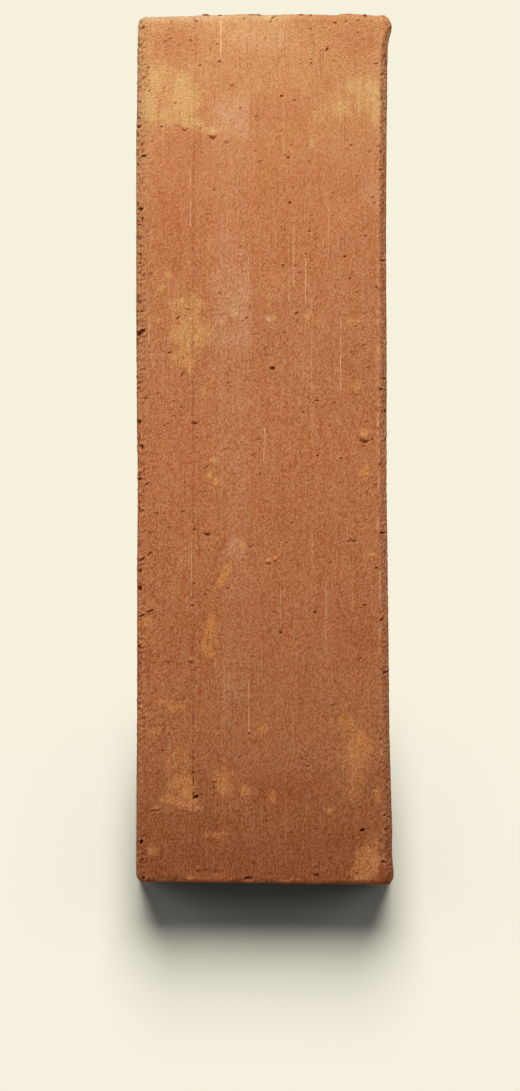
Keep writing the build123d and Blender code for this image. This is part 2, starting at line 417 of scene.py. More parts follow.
def tearLeft(points, height, paintedShade, upper, calm, fromLeft):
    zone = (1 - climb(*torn["leftReach"], fromLeft)) * upper * calm
    nearCalm = 0.45 + 0.55 * climb(*torn["nearCalm"], points[:, 1])
    zone *= (0.5 + 0.5 * climb(*torn["leftArris"], fromLeft)) * nearCalm
    length, width = torn["leftTear"]
    slanted = noiseOver(turnedBy(points, torn["leftLean"]), (length, width, length), 21.0)
    tear = climb(0.0, 0.42, slanted) * zone
    crumb = climb(0.05, 0.5, -slanted) * zone
    height += torn["leftCrumb"] * crumb - torn["leftDepth"] * tear
    # the tears, the low spots of the rough and the notches are painted darker: painted shade
    darken(paintedShade, torn["leftDark"] * tear * climb(0.0, 0.6, fromLeft))

    leaning = turnedBy(points, torn["roughLean"])
    rough = noiseOver(leaning, torn["leftRough"], 31.0) * zone
    height += torn["leftRoughHeight"] * rough
    darken(paintedShade, 0.5 * climb(0.18, 0.5, -rough) * climb(0.1, 0.5, fromLeft))
    notch = climb(0.12, 0.45, noiseOver(leaning, torn["notch"], 83.0)) * upper
    notch *= climb(-0.1, 0.25, fromLeft) * (1 - climb(0.5, 1.2, fromLeft)) * nearCalm
    height -= torn["notchDepth"] * notch
    darken(paintedShade, 0.5 * notch)


def tearRight(points, height, paintedShade, upper, calm, fromRight):
    ridge = torn["ridge"] + torn["ridgeWander"] * noiseOver(points, (90.0, 6.0, 90.0), 59.0)
    zone = (1 - climb(-0.5, 0.1, fromRight - ridge)) * upper
    length, width = torn["rightTear"]
    slanted = noiseOver(turnedBy(points, torn["rightLean"]), (length, width, length), 47.0)
    tear = climb(0.05, 0.5, slanted) * zone * (0.4 + 0.6 * calm)
    rough = noiseOver(points, torn["rightRough"], 53.0) * zone
    height += torn["rightRoughHeight"] * rough - torn["rightDepth"] * tear
    height += torn["rightSwell"] * np.sin(np.pi * np.clip(fromRight / ridge, 0, 1)) * upper
    farPart = climb(*torn["farPart"], points[:, 1])
    # the tears and low spots of the worn band are painted darker: painted shade, more towards the far end
    darken(paintedShade, (0.14 + 0.14 * farPart) * tear)
    darken(paintedShade, (0.16 + 0.24 * farPart) * climb(0.12, 0.4, -rough))

    inside, width = torn["ticks"]
    ticks = np.exp(-((fromRight - ridge + inside) / width) ** 2) * upper
    ticks *= climb(0.2, 0.5, noiseOver(points, (2.0, 0.9, 2.0), 57.0)) * calm
    ticks *= climb(0.0, 0.3, noiseOver(points, (9.0, 4.0, 9.0), 71.0))
    height -= torn["tickDepth"] * ticks
    darken(paintedShade, 0.4 * ticks)
    # the crest of the ridge is raised, and is painted pale in the finish: partly wear, partly painted highlight
    rim = np.exp(-((fromRight - ridge) / torn["ridgeWidth"]) ** 2) * upper
    rim *= climb(-0.2, 0.15, noiseOver(points, (40.0, 1.4, 40.0), 61.0))
    rim *= 1 - 0.6 * farPart
    height += torn["ridgeHeight"] * rim
    band = zone * (1 - 0.75 * climb(0.3, 2.0, fromRight)) * (1 - 0.75 * farPart)
    return rim, band


def tearEdges(points, height, paintedShade, upper, distances):
    fromLeft, fromRight, fromNear, fromFar = distances
    stretches = noiseOver(points, torn["calmCell"], 3.0)
    calm = torn["calmest"] + (1 - torn["calmest"]) * climb(-0.25, 0.25, stretches)
    tearLeft(points, height, paintedShade, upper, calm, fromLeft)
    rim, band = tearRight(points, height, paintedShade, upper, calm, fromRight)
    for zone, waves in ((fromFar, "farWave"), (fromNear, "nearWave")):
        closeTo = 1 - climb(*torn["waveReach"], zone)
        for layer, (cell, size) in enumerate(torn[waves]):
            height += size * closeTo * upper * noiseOver(points, (cell, 0.8 * cell, cell), 67.0 + 9.1 * layer)
    return rim, band


def shapeTile(mesh, edges):
    points, normals = pointsOf(mesh), normalsOf(mesh)
    distances = edges.distances(points)
    onBack = climb(0.5, 0.95, -normals[:, 2])
    starts, full = tileMesh["reliefDepth"]
    upper = climb(faceHeight - starts, faceHeight - full, points[:, 2])
    facing = climb(0.3, 0.95, normals[:, 2])
    height = -tileMesh["wallSink"] * (1 - onBack) - (tileMesh["faceSink"] - tileMesh["wallSink"]) * facing
    for layer, (cell, size) in enumerate(tileMesh["unevenness"]):
        height += size * (1 - onBack) * (0.3 + 0.7 * facing) * noiseOver(points, cell, 11.3 * layer)
    for layer, (cell, size) in enumerate(tileMesh["dragRidges"]):
        ridges = noiseOver(points, (cell, tileMesh["dragLength"], cell), 40.0 + 7.7 * layer)
        height += size * (1 - onBack) * ridges

    # painted shade in pits, chips, tears, burrs and the hollows beside lumps
    paintedShade = np.zeros(len(points))
    rim, band = tearEdges(points, height, paintedShade, upper, distances)
    pressMarks(points, height, paintedShade, upper)
    # painted highlight along the far edge, weaker towards the right, and a weaker one along the left edge
    farRim = (1 - climb(*tileMesh["farRim"], distances[3])) * upper
    farRim *= 1 - 0.8 * climb(*tileMesh["paintedRimHighlightFade"], points[:, 0])
    farRim = np.maximum(farRim, 0.4 * (1 - climb(*tileMesh["leftRimHighlight"], distances[0])) * upper)
    nearLeft, nearRight, _, nearFar = 1 - climb(*tileMesh["swingReach"], np.array(distances))
    swung = points.copy()
    swung[:, 0] -= nearLeft * np.interp(points[:, 1], *zip(*tileMesh["leftSwing"]))
    swung[:, 0] += nearRight * np.interp(points[:, 1], *zip(*tileMesh["rightSwing"]))
    swung[:, 1] += nearFar * np.interp(points[:, 0], *zip(*tileMesh["farSwing"]))
    points = swung + normals * height[:, None]
    points = np.clip(points, np.array(cadLow) / mm, np.array(cadHigh) / mm)
    mesh.vertices.foreach_set("co", (points * mm).ravel())
    mesh.polygons.foreach_set("use_smooth", np.ones(len(mesh.polygons), bool))
    mesh.update()
    return points, upper, {"paintedShade": paintedShade, "rim": rim, "band": band, "farRim": farRim}


# ochre flashes: x, y, half width, half length, strength, turn
flashes = [
    (-22.8, 97.5, 5, 7.5, 0.95, 0), (-28.5, 102, 4.5, 6.5, 0.7, 15), (-31.5, 95, 2.6, 7, 0.75, 0),
    (-25.5, 92, 5.5, 3, 0.8, 0), (-20.2, 90.2, 3.6, 1.8, 0.95, 0), (-15.2, 88.2, 3, 1.3, 0.8, 0),
    (-31.6, 84, 0.7, 4, 0.6, 0), (-11, 118, 8, 2.4, 0.45, 0), (2, 118.4, 6, 2, 0.45, 0),
    (30.4, 95.5, 2.4, 7.5, 0.75, 0), (27, 100.6, 5, 3.6, 0.7, 0), (22.6, 94.4, 10, 4, 0.5, 0),
    (14, 92.4, 1, 2, 0.55, 10), (15.6, 91, 1.4, 0.8, 0.5, 0), (12.8, 84.5, 0.7, 1.6, 0.4, 0),
    (-21.5, 40, 6, 3.2, 0.85, 0), (-21, 31.8, 7, 4.6, 0.95, 0), (-8.3, 37.6, 1.6, 0.9, 0.6, 0),
    (-26.8, 48.1, 1.2, 1.4, 0.85, 0), (-29, 44.3, 1.2, 1.2, 0.9, 0), (-29.5, 35.7, 1.9, 0.8, 0.7, 0),
    (-22.3, 25.6, 4.8, 3.6, 0.85, 0), (-20.8, 22.4, 0.8, 2.8, 0.8, 0), (-16.7, 15.9, 0.7, 1.9, 0.85, 0),
    (-14.1, -2.9, 1.6, 0.9, 0.75, 0), (-15.3, -7.1, 0.8, 1.2, 0.7, 0), (-13.4, -9, 1.2, 1.3, 0.85, 0),
    (25.2, 17.7, 1.9, 1.9, 0.8, 0), (27.1, 4.6, 1.5, 1.3, 0.95, 0), (27.3, -6.2, 2.1, 2.1, 0.85, 0),
    (31.2, 26.6, 0.9, 2.4, 0.7, 0), (15.1, 35.2, 1.2, 1.6, 0.8, 0), (11.7, 36.6, 1, 1, 0.9, 0),
    (23.8, 35.7, 2.3, 1.7, 0.8, 0), (1.2, 41.6, 0.9, 1.4, 0.75, 0), (1.9, 36, 1.6, 1, 0.75, 0),
    (-21, 36.2, 5, 2.4, 0.75, 0), (-11.5, -34.8, 1.2, 5.2, 1, -30), (-16, -49.8, 0.65, 7.4, 1, -13),
    (-13.7, -51, 0.55, 5.2, 0.9, 7), (-14.9, -51, 0.65, 8.6, 1, -3), (-16.2, -55.5, 1.2, 2.6, 0.6, 0),
    (1, -30.7, 1, 0.7, 0.8, 0), (2.7, -30.2, 0.6, 0.6, 0.7, 0), (-12.6, -59.2, 0.8, 0.8, 0.6, 0),
    (-6.5, -26.4, 1.3, 1, 0.7, 0), (-32.3, -47.5, 2.2, 1.4, 0.7, 0), (-32.9, -63.7, 1.4, 1.6, 0.6, 0),
    (29.8, -29.4, 1.4, 0.8, 0.9, 0), (-28.7, -78, 4, 1.2, 0.55, 0), (-27.4, -69.7, 3.2, 0.6, 0.85, 0),
    (-24.6, -71.1, 3.4, 0.65, 1, 0), (-26.5, -72.4, 3, 1, 0.5, 0), (-24, -86.4, 4.4, 4.4, 0.5, 0),
    (-22.6, -92.7, 5, 3.8, 0.8, 0), (-22.2, -97.1, 4.2, 2.4, 1, 0), (-26.4, -96.9, 3.4, 1.6, 0.85, 0),
    (-19.9, -99, 2.9, 1.2, 0.75, 0), (-29, -98.9, 2.2, 0.6, 0.7, 0), (-11.1, -91.5, 4, 5, 0.65, 0),
    (-5.6, -94.6, 2.8, 1.9, 0.6, 0), (-13.5, -90, 2.3, 1.8, 0.6, 0), (-0.6, -77, 1.8, 1.8, 0.6, 0),
    (-13.9, -106.3, 5.4, 1, 0.45, 0), (-30.9, -110.7, 1.8, 2.4, 0.5, 0), (1.7, -96, 1.7, 2.1, 0.75, 0),
    (17.4, -99.8, 1.8, 1.2, 0.7, 0), (25.6, -84.5, 4.6, 10.5, 0.75, 0), (22.4, -76, 4.4, 3, 0.65, 0),
    (23.5, -95, 3, 3, 0.5, 0), (28.6, -113.4, 4.6, 5.6, 0.8, 0), (26.4, -117, 4.6, 2.6, 0.85, 0),
    (30.4, -108.5, 2.6, 4, 0.5, 0), (31.7, -95.5, 1, 3.4, 0.6, 0),
]

# pale hazes and redder areas, the same way
hazes = [
    (29.8, 70.3, 3.6, 5, 0.7, 0), (0.8, 36.2, 2.6, 1.6, 0.65, 0), (-8.2, -27.6, 3.4, 4.2, 1.1, 0),
    (-18, -37.2, 1.6, 1.3, 0.6, 0), (12.8, 84.5, 1, 1.9, 0.6, 15), (-27, -81, 4, 4, 0.4, 0),
    (-6.6, 88, 2.8, 4.5, 0.9, 0), (-9, 92, 4.8, 5.5, 0.85, 0), (-14.1, -2.9, 1.6, 0.9, 1.2, 0),
    (-15.3, -7.1, 0.8, 1.2, 1.1, 0), (-13.4, -9, 1.2, 1.3, 1.1, 0),
]
reds = [
    (3.5, 93.8, 10, 5.5, 0.6, 0), (-23, 82, 8.5, 6.5, 0.75, 0), (-24, 112, 8, 5, 0.75, 0),
    (25, 112.5, 7, 6, 0.9, 0), (-25, 63, 8, 14, 0.5, 0), (5, -94.5, 10, 6.5, 0.7, 0),
    (33.5, 112, 2.6, 9, 0.6, 0), (17, 118.6, 13, 2, 0.45, 0), (17.5, 101.5, 2.2, 2.6, 0.7, 0),
    (24, -52, 8, 12, 0.4, 0),
]

# pale bars where one long haze lies: left, right, near, far, strength, how soft its right side is
hazeBars = [
    (-14.5, -4.4, 87, 96, 0.8, 1), (-14.5, -4.2, 50, 88, 0.32, 1.2),
    (-15, -4.1, 33, 50, 0.85, 0.5), (-15, -4.1, 29, 32.5, 1.15, 0.6),
    (-14.5, -4, -20, 28, 0.36, 1.6), (-13.5, -4.4, -75, -20, 0.26, 2),
    (-12, 7, 111, 117, 0.55, 4),
]


def softPatches(points, patches):
    mask = np.zeros(len(points))
    for x, y, halfWidth, halfLength, strength, turn in patches:
        near = np.flatnonzero(np.hypot(points[:, 0] - x, points[:, 1] - y) < 1.6 * max(halfWidth, halfLength))
        u, v, _ = turnedBy(points[near] - (x, y, 0.0), turn).T
        reach = np.hypot(u / halfWidth, v / halfLength)
        mask[near] = np.maximum(mask[near], strength * (1 - climb(0.35, 1.35, reach)))
    return mask


def paintMask(mesh, name, values):
    layer = mesh.attributes.new(name, "FLOAT", "POINT")
    layer.data.foreach_set("value", values.astype(np.float32))


def cleanCells(mesh):
    # merges collapsed corners, and cuts cells with more than four corners into well-shaped triangles
    shape = bmesh.new()
    shape.from_mesh(mesh)
    bmesh.ops.remove_doubles(shape, verts=shape.verts, dist=tileMesh["merge"] * mm)
    cells = [cell for cell in shape.faces if len(cell.verts) > 4]
    bmesh.ops.triangulate(shape, faces=cells, ngon_method="BEAUTY")
    shape.to_mesh(mesh)
    shape.free()


def buildTile():
    piece = evenCopy()
    edges = FaceEdges(pointsOf(piece.data))
    for level in range(len(tileMesh["edgeZones"])):
        splitCells(piece.data, edges, level)
    wrapOnto(piece)
    mesh = piece.data
    mesh.materials.clear()
    points, upper, masks = shapeTile(mesh, FaceEdges(pointsOf(mesh)))
    masks["flash"] = softPatches(points, flashes) * upper
    masks["haze"] = softPatches(points, hazes) * upper
    masks["red"] = softPatches(points, reds) * upper
    for name, values in masks.items():
        paintMask(mesh, name, values)
    cleanCells(mesh)
    mesh.calc_loop_triangles()
    print("tile shaped, triangles:", len(mesh.loop_triangles))
    return piece


def colourOf(red, green, blue):
    # screen colour, 0 to 255, as the linear colour that a socket takes
    parts = [c / 255 for c in (red, green, blue)]
    return [c / 12.92 if c <= 0.04045 else ((c + 0.055) / 1.055) ** 2.4 for c in parts] + [1.0]


def nodeMaker(tree):
    # gives three functions: one adds a node with its settings, links and values,
    # one calculates, and one eases a value between two limits
    tree.nodes.clear()

    def put(kind, inputs=None, **settings):
        node = tree.nodes.new(kind)
        for name, value in settings.items():
            setattr(node, name, value)
        for name, value in (inputs or {}).items():
            if isinstance(value, bpy.types.NodeSocket):
                tree.links.new(value, node.inputs[name])
            else:
                node.inputs[name].default_value = value
        return node

    def calc(operation, a, b=0.0, c=0.0):
        return put("ShaderNodeMath", {0: a, 1: b, 2: c}, operation=operation).outputs[0]

    def ease(value, low, high):
        sockets = {"Value": value, "From Min": low, "From Max": high}
        return put("ShaderNodeMapRange", sockets, interpolation_type="SMOOTHSTEP").outputs["Result"]

    return put, calc, ease


clay = {
    "body": (192, 121, 77),
    "red": (184, 109, 66),
    "ochre": (194, 137, 85),
    "midOchre": (212, 135, 73),
    "nearOchre": (215, 138, 83),
    "hazeTint": (1.09, 1.3, 1.55, 1.0),
    "redTint": (0.93, 0.79, 0.79, 1.0),
    "pale": (230, 177, 129),
    # colour of the painted shade in the deepest hollows
    "dark": (84, 34, 20),
    # also the colour of the painted shade in pores, wrinkles and shallow hollows
    "groove": (130, 64, 36),
    "midTint": (0.932, 0.98, 1.0, 1.0),
    "farTint": (1.1, 1.36, 1.42, 1.0),  # the far end is yellower
    # painted highlight along the far and left edges
    "farRimTint": (0.98, 1.3, 1.6, 1.0),
    "leftTint": (0.95, 1.05, 1.06, 1.0),
    "nearTint": (0.78, 0.68, 0.65, 1.0),  # the near end is darker
    "bandTint": (1.12, 1.24, 1.5, 1.0),  # the worn band along the right wall is dull
    "darkGrain": (0.77, 0.57, 0.37, 1.0),
    "paleGrain": (1.23, 1.47, 1.7, 1.0),
    # patches of two hues that drift apart: size, one tint, the other
    "hues": ((1.35, (1.07, 0.99, 0.85, 1.0), (0.93, 1.01, 1.15, 1.0)),
             (1.7, (1.03, 0.94, 1.02, 1.0), (0.97, 1.06, 0.98, 1.0))),
    "roughness": 0.88,
    "specular": 0.04,
    "paintDepth": (3.5, 1.5),  # lines and bars start this far below the face, and are full from there
    # sizes of the patterns, in mm
    "sizes": {
        "broad": 30, "mottle": 5.5, "streak": 1.6, "fineStreak": 0.45, "flash": 3.0, "haze": 3.6, "grain": 0.26,
        "farGrain": 0.24, "sand": 0.3, "specks": 0.72, "pores": 1.8, "wrinkles": 0.9, "folds": 0.5,
    },
    # places along and across the tile between which one look gives way to the next
    "along": {
        "mid": (-5, 32), "near": (-75, -121), "far": (58, 118), "midOchre": (55, -35), "nearOchre": (-60, -110),
        "leftStrip": (-20, 40), "farGrain": (55, 95), "strongGrain": (130, -110), "grooveTurn": (60, 121),
        "cutFrom": (-70, -76), "cutTo": (-102, -97), "leftFolds": (60, 105), "rightFolds": (80, 110),
    },
    "across": {"leftStrip": (-30.5, -32.5), "leftFolds": (-8, -22), "rightFolds": (2, 16)},
    "grooveX": -19.85,  # where the long groove runs
    "grooveTurn": 0.65,  # and how far it turns at the far end
    # heights of the relief that is too fine for the mesh, in mm
    "relief": {
        "grain": 0.08, "sand": -0.03, "fineStreak": 0.02, "streak": 0.04, "mottle": 0.15, "pores": -0.1,
        "folds": 0.3, "groove": -0.03,
    },
}

# pale drag lines: x, from y, to y, strength
farLines = [
    (-33.6, 62.8, 66.6, 0.5), (-32.1, 28.8, 37.5, 0.75), (-28.2, 80, 96, 0.2), (-20.6, 61, 78, 0.55),
    (-16, 44, 62, 0.2), (-12.35, 107.8, 120, 1), (-12.05, 108.6, 120, 0.7), (-8.9, 4, 20, 0.2),
    (-4.6, 41, 56.6, 0.3), (-0.1, -1, 6.2, 1), (2.4, 60, 82, 0.2), (5.1, 82.6, 97.4, 0.65),
    (6.6, 40.7, 50.3, 0.5), (7.8, 44, 62.4, 0.6), (10.6, 18.6, 28.8, 0.35), (11.2, 39.4, 53, 0.75),
    (12.9, 2, 42.6, 0.45), (16.7, 107.5, 111, 0.35), (17.6, 53.6, 66.6, 0.4), (20.9, 15.9, 37, 1),
    (24.6, 62, 84, 0.2),
]
nearLines = [
    (-27.5, -104, -88, 0.2), (-20.3, -46, -25.5, 0.8), (-16.2, -118.4, -103, 0.35),
    (-10.4, -72, -60, 0.2), (-4.45, -78.4, -64, 1), (-0.3, -4.3, 1, 1), (4.3, -47.2, -37, 0.65),
    (5.3, -41, -37.5, 0.45), (5.75, -114.8, -86.6, 0.42), (8.6, -70, -54, 0.2),
    (11.4, -102.9, -93.6, 0.3), (12.4, -98.2, -94.6, 0.3), (13, -36, -22.8, 0.65),
    (16.8, -53.2, -33.3, 0.65), (22.7, -26.9, -21, 0.45), (25.7, -103, -98.8, 0.35),
    (28.6, -74, -56, 0.2),
]
lineHalfWidth = 0.12
faceSpan = (80.0, 260.0)  # x and y ranges that hold every line, for the ramps


def terracottaFinish():
    finish = bpy.data.materials.new("firedTerracotta")
    finish.use_nodes = True
    put, calc, ease = nodeMaker(finish.node_tree)
    sizes = clay["sizes"]

    def times(a, b):
        return calc("MULTIPLY", a, b)

    def plus(a, b):
        return calc("ADD", a, b)

    def around(value, swing):
        return times(calc("SUBTRACT", value, 0.5), swing)

    def stretch(vector, x, y, z):
        return put("ShaderNodeVectorMath", {0: vector, 1: (x, y, z)}, operation="MULTIPLY").outputs[0]

    def slant(lean, long):
        # marks drawn in this space come out drawn out by this much along the lean
        sockets = {"Vector": inMm, "Rotation": (0, 0, math.radians(lean)), "Scale": (long, 1, 1)}
        return put("ShaderNodeMapping", sockets, vector_type="TEXTURE").outputs[0]

    def clouds(vector, size, detail=2.0, roughness=0.5):
        sockets = {"Vector": vector, "Scale": 1 / size, "Detail": detail, "Roughness": roughness}
        return put("ShaderNodeTexNoise", sockets).outputs["Fac"]

    def grains(vector, size):
        return put("ShaderNodeTexVoronoi", {"Vector": vector, "Scale": 1 / size})

    def chanceOf(cells):
        return put("ShaderNodeSeparateColor", {0: cells.outputs["Color"]}).outputs[0]

    def dashes(vector, size, rarity, soft):
        # some of the cells hold a dash, small or large
        cells = grains(vector, size)
        dashSize = times(ease(chanceOf(cells), rarity, 1.0), 0.22)
        return ease(calc("SUBTRACT", dashSize, cells.outputs["Distance"]), 0.0, soft)

    def mix(factor, a, b):
        return put("ShaderNodeMix", {0: factor, 2: a, 3: b}).outputs[0]

    def blend(factor, a, b, way="MIX"):
        return put("ShaderNodeMix", {0: factor, 6: a, 7: b}, data_type="RGBA", blend_type=way).outputs[2]

    def tint(colour, mask, name):
        return blend(mask, colour, clay[name], "MULTIPLY")

    def cover(colour, mask, name):
        return blend(mask, colour, colourOf(*clay[name]))

    def painted(name):
        return put("ShaderNodeAttribute", attribute_name=name).outputs["Fac"]

    def zoneAlong(name):
        return ease(y, *clay["along"][name])

    def zoneAcross(name):
        return ease(x, *clay["across"][name])

    inMm = stretch(put("ShaderNodeTexCoord").outputs["Object"], 1 / mm, 1 / mm, 1 / mm)
    apart = put("ShaderNodeSeparateXYZ", {0: inMm}).outputs
    x, y = apart["X"], apart["Y"]
    starts, full = clay["paintDepth"]
    onFace = ease(apart["Z"], faceHeight - starts, faceHeight - full)
    alongGrain = stretch(inMm, 1.0, 0.02, 1.0)
    streak = clouds(alongGrain, sizes["streak"], 3, 0.6)
    fineStreak = clouds(alongGrain, sizes["fineStreak"], 2, 0.5)
    mottle = clouds(stretch(inMm, 1, 0.6, 1), sizes["mottle"], 3, 0.6)

    # body colour: broad warm and red areas
    broad = clouds(inMm, sizes["broad"], 2)
    warm = plus(plus(around(broad, 0.9), around(mottle, 0.5)), 0.5)
    body = cover(colourOf(*clay["red"]), warm, "body")
    body = tint(body, zoneAlong("mid"), "midTint")
    body = tint(body, zoneAlong("near"), "nearTint")

    # ochre flashes from the fire, broken up
    flashBreak = around(clouds(stretch(inMm, 1, 0.55, 1), sizes["flash"], 4, 0.72), 1.7)
    flashBreak = plus(flashBreak, around(streak, 0.95))
    flashMask = ease(plus(painted("flash"), flashBreak), 0.15, 0.9)
    flashMask = times(flashMask, ease(painted("flash"), 0.02, 0.3))
    ochre = cover(colourOf(*clay["ochre"]), zoneAlong("midOchre"), "midOchre")
    ochre = cover(ochre, zoneAlong("nearOchre"), "nearOchre")
    body = blend(times(flashMask, 0.9), body, ochre)
    body = tint(body, zoneAlong("far"), "farTint")

    # pale hazes, patches and bars
    hazeBreak = around(clouds(stretch(inMm, 1, 0.3, 1), sizes["haze"], 3, 0.6), 1.0)
    hazeBreak = plus(hazeBreak, around(streak, 0.5))
    hazeMask = ease(plus(painted("haze"), hazeBreak), 0.25, 1.0)
    hazeMask = times(hazeMask, ease(painted("haze"), 0.02, 0.25))
    for left, right, near, far, strength, soft in hazeBars:
        across = times(ease(x, left - 1.5, left + 3), ease(x, right + soft, right - soft))
        along = times(ease(y, near - 4, near + 2), ease(y, far + 4, far - 2))
        bar = times(times(across, along), plus(around(hazeBreak, 0.5), strength + 0.25))
        hazeMask = calc("MAXIMUM", hazeMask, times(bar, onFace))
    body = tint(body, hazeMask, "hazeTint")

    # redder areas, the tints along the edges, and the painted highlight along the far and left edges
    for mask in ("red", "band", "farRim"):
        body = tint(body, painted(mask), mask + "Tint")
    body = tint(body, times(zoneAcross("leftStrip"), zoneAlong("leftStrip")), "leftTint")

    # sandy grain, stronger towards the near end, and patches of two hues
    farGrain = zoneAlong("farGrain")
    nearCloud = clouds(slant(65, 1.5), sizes["grain"], 1, 0.6)
    farCloud = clouds(slant(20, 2.0), sizes["farGrain"], 1, 0.5)
    grain = mix(farGrain, nearCloud, farCloud)
    sand = grains(slant(65, 1.5), sizes["sand"])
    tone = around(grain, 2.1)
    for layer, swing in ((chanceOf(sand), 0.72), (fineStreak, 0.14), (mottle, 0.25), (streak, 0.15)):
        tone = plus(tone, around(layer, swing))
    contrast = calc("MULTIPLY_ADD", zoneAlong("strongGrain"), 0.72, 0.76)
    for mask, more in ((farGrain, -0.18), (flashMask, -0.2), (painted("band"), 1.4)):
        contrast = calc("MULTIPLY_ADD", mask, more, contrast)
    tone = calc("MULTIPLY_ADD", tone, contrast, 0.5)
    body = blend(1.0, body, blend(tone, clay["darkGrain"], clay["paleGrain"]), "MULTIPLY")
    for size, one, other in clay["hues"]:
        body = blend(1.0, body, blend(clouds(inMm, size, 2, 0.6), one, other), "MULTIPLY")

    # the long dark groove that a piece of grit dragged, broken into dots
    path = calc("MULTIPLY_ADD", zoneAlong("grooveTurn"), clay["grooveTurn"], clay["grooveX"])
    path = plus(path, around(clouds(stretch(inMm, 0, 1, 0), 14, 1), 0.5))
    fromGroove = calc("ABSOLUTE", calc("SUBTRACT", x, path))
    dots = ease(clouds(stretch(inMm, 0.3, 1, 0.3), 0.9, 2), 0.42, 0.66)
    groove = times(ease(fromGroove, 0.38, 0.06), calc("MULTIPLY_ADD", dots, 0.45, 0.08))
    cutPart = times(zoneAlong("cutFrom"), zoneAlong("cutTo"))  # cut in more deeply here
    groove = times(times(groove, onFace), calc("MULTIPLY_ADD", cutPart, 1.2, 1.0))
    body = cover(body, groove, "groove")

    # faint dark drag lines, also broken
    darkLines = ease(clouds(stretch(inMm, -1, 0.025, 0), 0.42, 1), 0.6, 0.74)
    darkBreak = ease(clouds(stretch(inMm, 0.4, 1, 0), 1.3, 2), 0.42, 0.62)
    darkLines = times(times(darkLines, onFace), calc("MULTIPLY_ADD", darkBreak, 0.4, 0.14))
    body = cover(body, darkLines, "groove")

    # pale drag lines: at each x across the face, a ramp holds the place of the line there,
    # its middle, its half length and its strength
    def lineRamp(lines, wanderX):
        across = calc("MULTIPLY_ADD", wanderX, 1 / faceSpan[0], 0.5)
        node = put("ShaderNodeValToRGB", {0: across})
        ramp = node.color_ramp
        ramp.interpolation = "CONSTANT"
        ramp.elements.remove(ramp.elements[1])
        lines = sorted(lines)
        for index, (lineX, start, end, strength) in enumerate(lines):
            begins = 0.0 if index == 0 else (lines[index - 1][0] + lineX) / 2 / faceSpan[0] + 0.5
            stop = ramp.elements[0] if index == 0 else ramp.elements.new(begins)
            middle, half = (start + end) / 2, (end - start) / 2
            stop.color = (lineX / faceSpan[0] + 0.5, middle / faceSpan[1] + 0.5, half / faceSpan[1], strength)
        parts = put("ShaderNodeSeparateColor", {0: node.outputs["Color"]}).outputs
        beside = calc("ABSOLUTE", calc("SUBTRACT", across, parts[0]))
        beside = ease(beside, 1.7 * lineHalfWidth / faceSpan[0], 0.4 * lineHalfWidth / faceSpan[0])
        lengthwise = calc("MULTIPLY_ADD", y, 1 / faceSpan[1], 0.5)
        beyond = calc("SUBTRACT", calc("ABSOLUTE", calc("SUBTRACT", lengthwise, parts[1])), parts[2])
        within = ease(beyond, 0.0, -0.8 / faceSpan[1])
        return times(times(beside, within), node.outputs["Alpha"])

    wander = plus(x, around(clouds(stretch(inMm, 0.1, 1, 0), 16, 1), 0.5))
    farHalf = calc("GREATER_THAN", y, 0.0)
    lines = mix(farHalf, lineRamp(nearLines, wander), lineRamp(farLines, wander))
    lineBreak = ease(clouds(stretch(inMm, 0.1, 1, 0), 3, 2), 0.35, 0.6)
    lines = times(lines, calc("MULTIPLY_ADD", lineBreak, 0.75, 0.25))
    faintLines = times(ease(clouds(stretch(inMm, 1, 0.02, 0), 0.36, 1), 0.64, 0.78), 0.34)
    paleLines = times(calc("MAXIMUM", lines, faintLines), onFace)
    body = cover(body, times(paleLines, 0.85), "pale")
    # the pale crest of the ridge by the right wall: partly wear, partly painted highlight
    body = cover(body, times(painted("rim"), 0.6), "pale")

    # sharp specks, dark and pale
    specks = grains(slant(70, 1.4), sizes["specks"])
    speckShape = ease(specks.outputs["Distance"], 0.36, 0.12)
    for limits, strength, colour in (((0.84, 0.97), 0.5, "groove"), ((0.12, 0.02), 0.4, "pale")):
        body = cover(body, times(times(speckShape, ease(chanceOf(specks), *limits)), strength), colour)

    # small dashes of pores, wrinkles and folds at the sides of the far end; the dark of the pores and wrinkles,
    # and of pits and tears, is painted shade
    leftFar = times(zoneAlong("leftFolds"), zoneAcross("leftFolds"))
    farSides = calc("MAXIMUM", leftFar, times(zoneAlong("rightFolds"), zoneAcross("rightFolds")))
    wrinkles = times(dashes(slant(24, 3.4), sizes["wrinkles"], 0.5, 0.12), farSides)
    pores = calc("MAXIMUM", dashes(slant(20, 1.8), sizes["pores"], 0.6, 0.1), wrinkles)
    folds = times(clouds(slant(22, 2.2), sizes["folds"], 2, 0.55), farSides)
    body = cover(body, times(pores, 0.7), "groove")
    paintedShade = painted("paintedShade")
    body = cover(body, times(ease(paintedShade, 0.08, 0.5), 0.75), "groove")
    body = cover(body, times(ease(paintedShade, 0.5, 1.15), 0.85), "dark")

    layers = {
        "grain": grain, "sand": sand.outputs["Distance"], "fineStreak": fineStreak, "streak": streak,
        "mottle": mottle, "pores": pores, "folds": folds, "groove": groove,
    }
    relief = 0.0
    for name, layer in layers.items():
        relief = calc("MULTIPLY_ADD", layer, clay["relief"][name], relief)
    bump = put("ShaderNodeBump", {"Strength": 1.0, "Distance": mm, "Height": relief})
    shader = put("ShaderNodeBsdfPrincipled", {
        "Base Color": body, "Roughness": clay["roughness"], "Specular IOR Level": clay["specular"],
        "Normal": bump.outputs["Normal"],
    })
    put("ShaderNodeOutputMaterial", {"Surface": shader.outputs["BSDF"]})
    return finish


tile = buildTile()
tile.data.materials.append(terracottaFinish())
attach(tile, "root")
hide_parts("tile")
print("tile finished")

